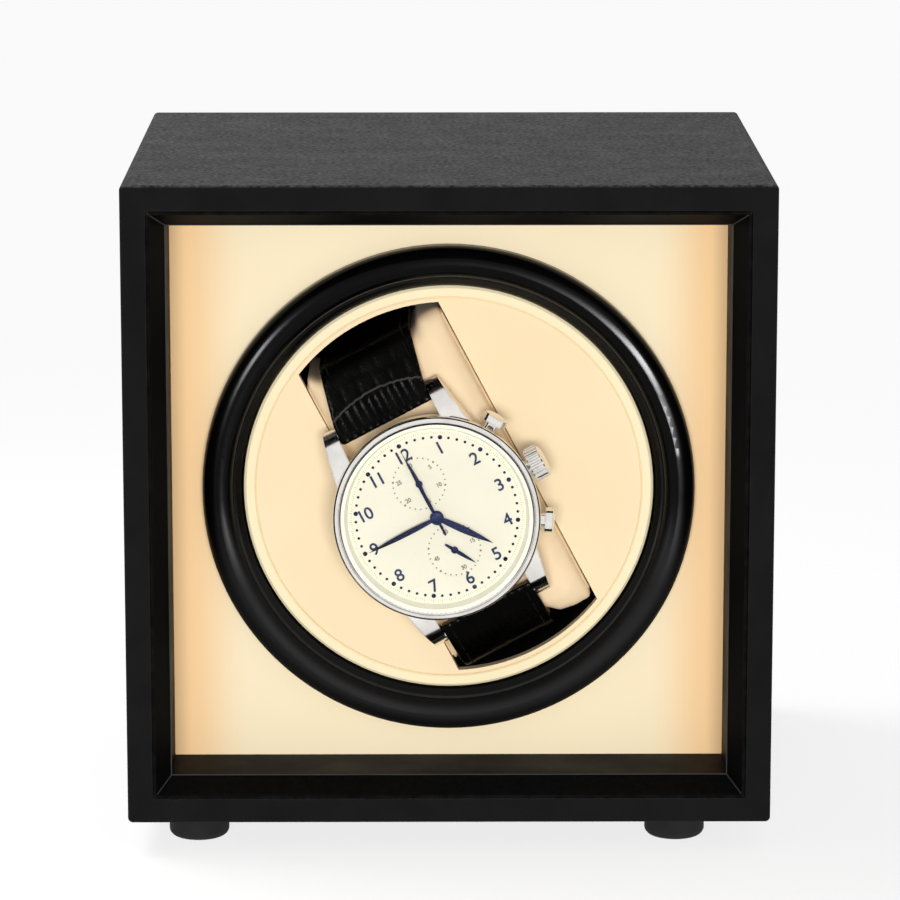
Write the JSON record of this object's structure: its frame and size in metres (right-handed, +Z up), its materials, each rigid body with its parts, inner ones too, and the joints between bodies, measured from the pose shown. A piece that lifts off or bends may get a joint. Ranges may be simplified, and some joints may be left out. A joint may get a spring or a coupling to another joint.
{
  "type": "watch winder",
  "caption": "Leatherette-covered box with a bevelled front recess, a gloss ring and a motor-driven drum that turns a wristwatch on a padded pillow.",
  "frame": {"origin": "on the floor under the middle of the box, level with the soles of the feet", "axes": "+Z up, front of the box towards -Y, +X to the right as seen from the front"},
  "size_m": [0.1272, 0.1152, 0.1332],
  "materials": {
    "leatherette": "fine-grained matte black leatherette",
    "fibreboard": "raw fibreboard",
    "satin_trim": "smooth satin black",
    "cream_cover": "smooth cream leatherette",
    "pocket_lining": "flocked black lining",
    "gloss_black": "polished black",
    "rear_black": "finely textured black",
    "foot_rubber": "moulded black rubber",
    "zinc_steel": "zinc-plated",
    "gear_plastic": "natural acetal",
    "bronze": "machined bronze",
    "circuit_board": "green solder mask",
    "component_black": "moulded",
    "lead_insulation": "smooth insulation",
    "pillow_cover": "soft cream suede cloth",
    "strap_leather": "black crocodile-grain leather",
    "polished_steel": "polished",
    "crystal": "clear",
    "dial_white": "matte silver white",
    "hand_blue": "blued steel"
  },
  "bodies": {
    "case": {"outer_wrap": "leatherette", "carcass_boards": "fibreboard", "frame_top": "satin_trim", "frame_bottom": "satin_trim", "frame_left": "satin_trim", "frame_right": "satin_trim", "fascia_panel": "cream_cover", "bezel_ring": "gloss_black", "rubber_feet": "foot_rubber", "bulkhead": "fibreboard", "corner_battens": "fibreboard", "rear_panel": "rear_black", "bulkhead_screws": "zinc_steel", "rear_screws": "zinc_steel", "control_board": "circuit_board", "board_standoffs": "zinc_steel", "board_components": "component_black", "board_screws": "zinc_steel", "motor_screws": "zinc_steel", "internal_leads": "lead_insulation", "power_socket": "rear_black", "power_socket_nut": "zinc_steel", "switch_body": "rear_black", "bearing_bush": "bronze", "motor_gearbox": "gear_plastic", "motor_can": "zinc_steel"},
    "drum": {"drum_shell": "cream_cover", "drum_back": "cream_cover", "drum_face": "cream_cover", "pocket_liner": "pocket_lining", "drum_gear": "gear_plastic", "gear_screws": "zinc_steel", "drum_shaft": "zinc_steel", "thrust_washer": "gear_plastic", "shaft_clip": "zinc_steel"},
    "motor_output": {"motor_pinion": "bronze", "motor_output_shaft": "zinc_steel"},
    "watch_pillow": {"pillow": "pillow_cover", "strap_upper": "strap_leather", "strap_lower": "strap_leather", "strap_keepers": "strap_leather", "buckle_frame": "polished_steel", "buckle_tang": "polished_steel", "spring_bars": "polished_steel", "watch_case": "polished_steel", "watch_case_back": "polished_steel", "watch_bezel": "polished_steel", "watch_crystal": "crystal", "watch_dial_flange": "dial_white", "watch_dial": "dial_white", "watch_movement": "bronze"},
    "hour_hand": {"hour_hand": "hand_blue"},
    "minute_hand": {"minute_hand": "hand_blue"},
    "chrono_hand": {"chrono_hand": "hand_blue"},
    "counter_hand": {"counter_hand": "hand_blue"},
    "seconds_hand": {"seconds_hand": "hand_blue"},
    "crown": {"crown": "polished_steel"},
    "upper_pusher": {"upper_pusher": "polished_steel"},
    "lower_pusher": {"lower_pusher": "polished_steel"},
    "switch_knob": {"switch_knob": "gear_plastic"}
  },
  "joints": [
    {"name": "drum_spin", "type": "hinge", "parent": "case", "child": "drum", "pos_m": [0, 0, 0.06959], "axis": [0, 1, 0], "continuous": true},
    {"name": "pinion_spin", "type": "hinge", "parent": "case", "child": "motor_output", "pos_m": [0, 0, 0.04439], "axis": [0, 1, 0], "continuous": true},
    {"name": "pillow_out", "type": "slide", "parent": "drum", "child": "watch_pillow", "axis": [0, -1, 0], "range_m": [0, 0.08]},
    {"name": "minute_spin", "type": "hinge", "parent": "watch_pillow", "child": "minute_hand", "pos_m": [-0.00238, -0.0479, 0.06596], "axis": [0, 1, 0], "continuous": true},
    {"name": "hour_spin", "type": "hinge", "parent": "watch_pillow", "child": "hour_hand", "pos_m": [-0.00238, -0.0479, 0.06596], "axis": [0, 1, 0], "continuous": true},
    {"name": "chrono_spin", "type": "hinge", "parent": "watch_pillow", "child": "chrono_hand", "pos_m": [-0.00238, -0.0479, 0.06596], "axis": [0, 1, 0], "continuous": true},
    {"name": "counter_spin", "type": "hinge", "parent": "watch_pillow", "child": "counter_hand", "pos_m": [-0.00588, -0.0479, 0.0726], "axis": [0, 1, 0], "continuous": true},
    {"name": "seconds_spin", "type": "hinge", "parent": "watch_pillow", "child": "seconds_hand", "pos_m": [0.00112, -0.0479, 0.05933], "axis": [0, 1, 0], "continuous": true},
    {"name": "crown_turn", "type": "hinge", "parent": "watch_pillow", "child": "crown", "pos_m": [0.01571, -0.0455, 0.0755], "axis": [0.8846, 0, 0.4664], "continuous": true},
    {"name": "upper_push", "type": "slide", "parent": "watch_pillow", "child": "upper_pusher", "axis": [-0.518, 0, -0.8554], "range_m": [0, 0.0009], "stiffness_N_per_m": 900, "springref_m": -0.0005},
    {"name": "lower_push", "type": "slide", "parent": "watch_pillow", "child": "lower_pusher", "axis": [-0.9984, 0, 0.0558], "range_m": [0, 0.0009], "stiffness_N_per_m": 900, "springref_m": -0.0005},
    {"name": "direction_switch", "type": "slide", "parent": "case", "child": "switch_knob", "axis": [1, 0, 0], "range_m": [-0.003, 0.003]}
  ],
  "couplings": [
    {"joint": "pinion_spin", "follows": "drum_spin", "ratio": -3},
    {"joint": "hour_spin", "follows": "minute_spin", "ratio": 0.083333},
    {"joint": "counter_spin", "follows": "chrono_spin", "ratio": 0.016667}
  ]
}
